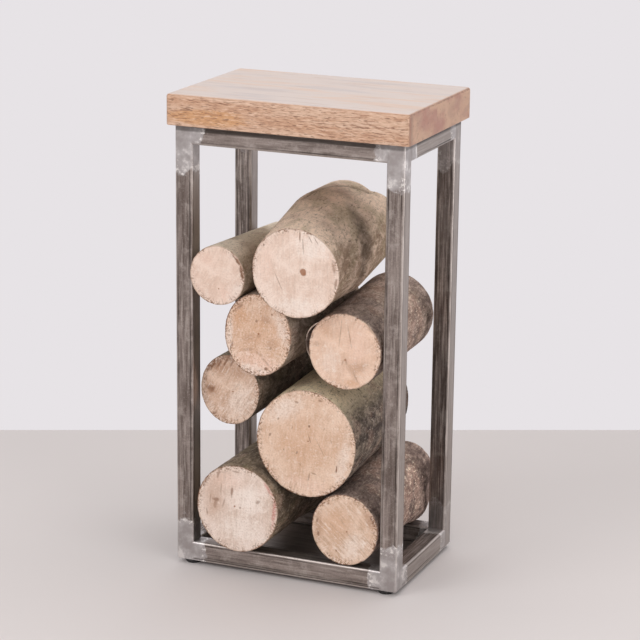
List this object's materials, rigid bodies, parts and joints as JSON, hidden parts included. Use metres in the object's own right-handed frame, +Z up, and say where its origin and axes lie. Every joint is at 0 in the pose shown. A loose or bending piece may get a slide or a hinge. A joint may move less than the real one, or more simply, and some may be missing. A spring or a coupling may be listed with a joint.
{
  "type": "firewood log rack",
  "caption": "Tall open rack for firewood: a welded square-tube steel frame with a thick wooden top, a sheet base, rubber feet, and a loose stack of sawn logs.",
  "frame": {"origin": "on the floor, under the middle of the rack", "axes": "+Z up, +Y from the front to the back, +X to the right as seen from the front"},
  "size_m": [0.34, 0.27, 0.65],
  "materials": {
    "steel_tube": "lacquered mill finish, ground bright at the joints",
    "sheet_steel": "lacquered mill finish",
    "weld_bead": "as welded",
    "zinc_screw": "zinc plated",
    "rubber_foot": "matte black",
    "top_wood": "oiled hardwood, worn at the edges",
    "log_wood": "grey-brown bark with pale sawn ends"
  },
  "bodies": {
    "rack": {"upright_front_left": "steel_tube", "upright_front_right": "steel_tube", "upright_back_left": "steel_tube", "upright_back_right": "steel_tube", "bottom_rail_front": "steel_tube", "bottom_rail_back": "steel_tube", "bottom_rail_left": "steel_tube", "bottom_rail_right": "steel_tube", "top_rail_front": "steel_tube", "top_rail_back": "steel_tube", "top_rail_left": "steel_tube", "top_rail_right": "steel_tube", "bottom_frame_welds": "weld_bead", "top_frame_welds": "weld_bead", "base_sheet": "sheet_steel", "foot_front_left": "rubber_foot", "foot_front_right": "rubber_foot", "foot_back_left": "rubber_foot", "foot_back_right": "rubber_foot", "foot_screws": "zinc_screw", "top_fixing_tabs": "steel_tube", "top_fixing_screws": "zinc_screw", "top_board_front": "top_wood", "top_board_middle": "top_wood", "top_board_back": "top_wood"},
    "log_top_left": {"log_top_left": "log_wood"},
    "log_top_centre": {"log_top_centre": "log_wood"},
    "log_upper_left": {"log_upper_left": "log_wood"},
    "log_upper_right": {"log_upper_right": "log_wood"},
    "log_middle_left": {"log_middle_left": "log_wood"},
    "log_middle_centre": {"log_middle_centre": "log_wood"},
    "log_bottom_left": {"log_bottom_left": "log_wood"},
    "log_bottom_right": {"log_bottom_right": "log_wood"}
  },
  "joints": [
    {"name": "slide_log_top_left", "type": "slide", "parent": "rack", "child": "log_top_left", "axis": [0, -1, 0], "range_m": [0, 0.26]},
    {"name": "slide_log_top_centre", "type": "slide", "parent": "rack", "child": "log_top_centre", "axis": [-0.025, 0.9996, 0.015], "range_m": [0, 0.26]},
    {"name": "slide_log_upper_left", "type": "slide", "parent": "rack", "child": "log_upper_left", "axis": [0.012, -0.9999, 0], "range_m": [0, 0.26]},
    {"name": "slide_log_upper_right", "type": "slide", "parent": "rack", "child": "log_upper_right", "axis": [-0.0649, 0.9979, 0], "range_m": [0, 0.26]},
    {"name": "slide_log_middle_left", "type": "slide", "parent": "rack", "child": "log_middle_left", "axis": [0, 1, 0], "range_m": [0, 0.26]},
    {"name": "slide_log_middle_centre", "type": "slide", "parent": "rack", "child": "log_middle_centre", "axis": [0.0539, -0.9985, 0], "range_m": [0, 0.26]},
    {"name": "slide_log_bottom_left", "type": "slide", "parent": "rack", "child": "log_bottom_left", "axis": [0, -1, 0], "range_m": [0, 0.26]},
    {"name": "slide_log_bottom_right", "type": "slide", "parent": "rack", "child": "log_bottom_right", "axis": [-0.0649, 0.9979, 0], "range_m": [0, 0.26]}
  ]
}
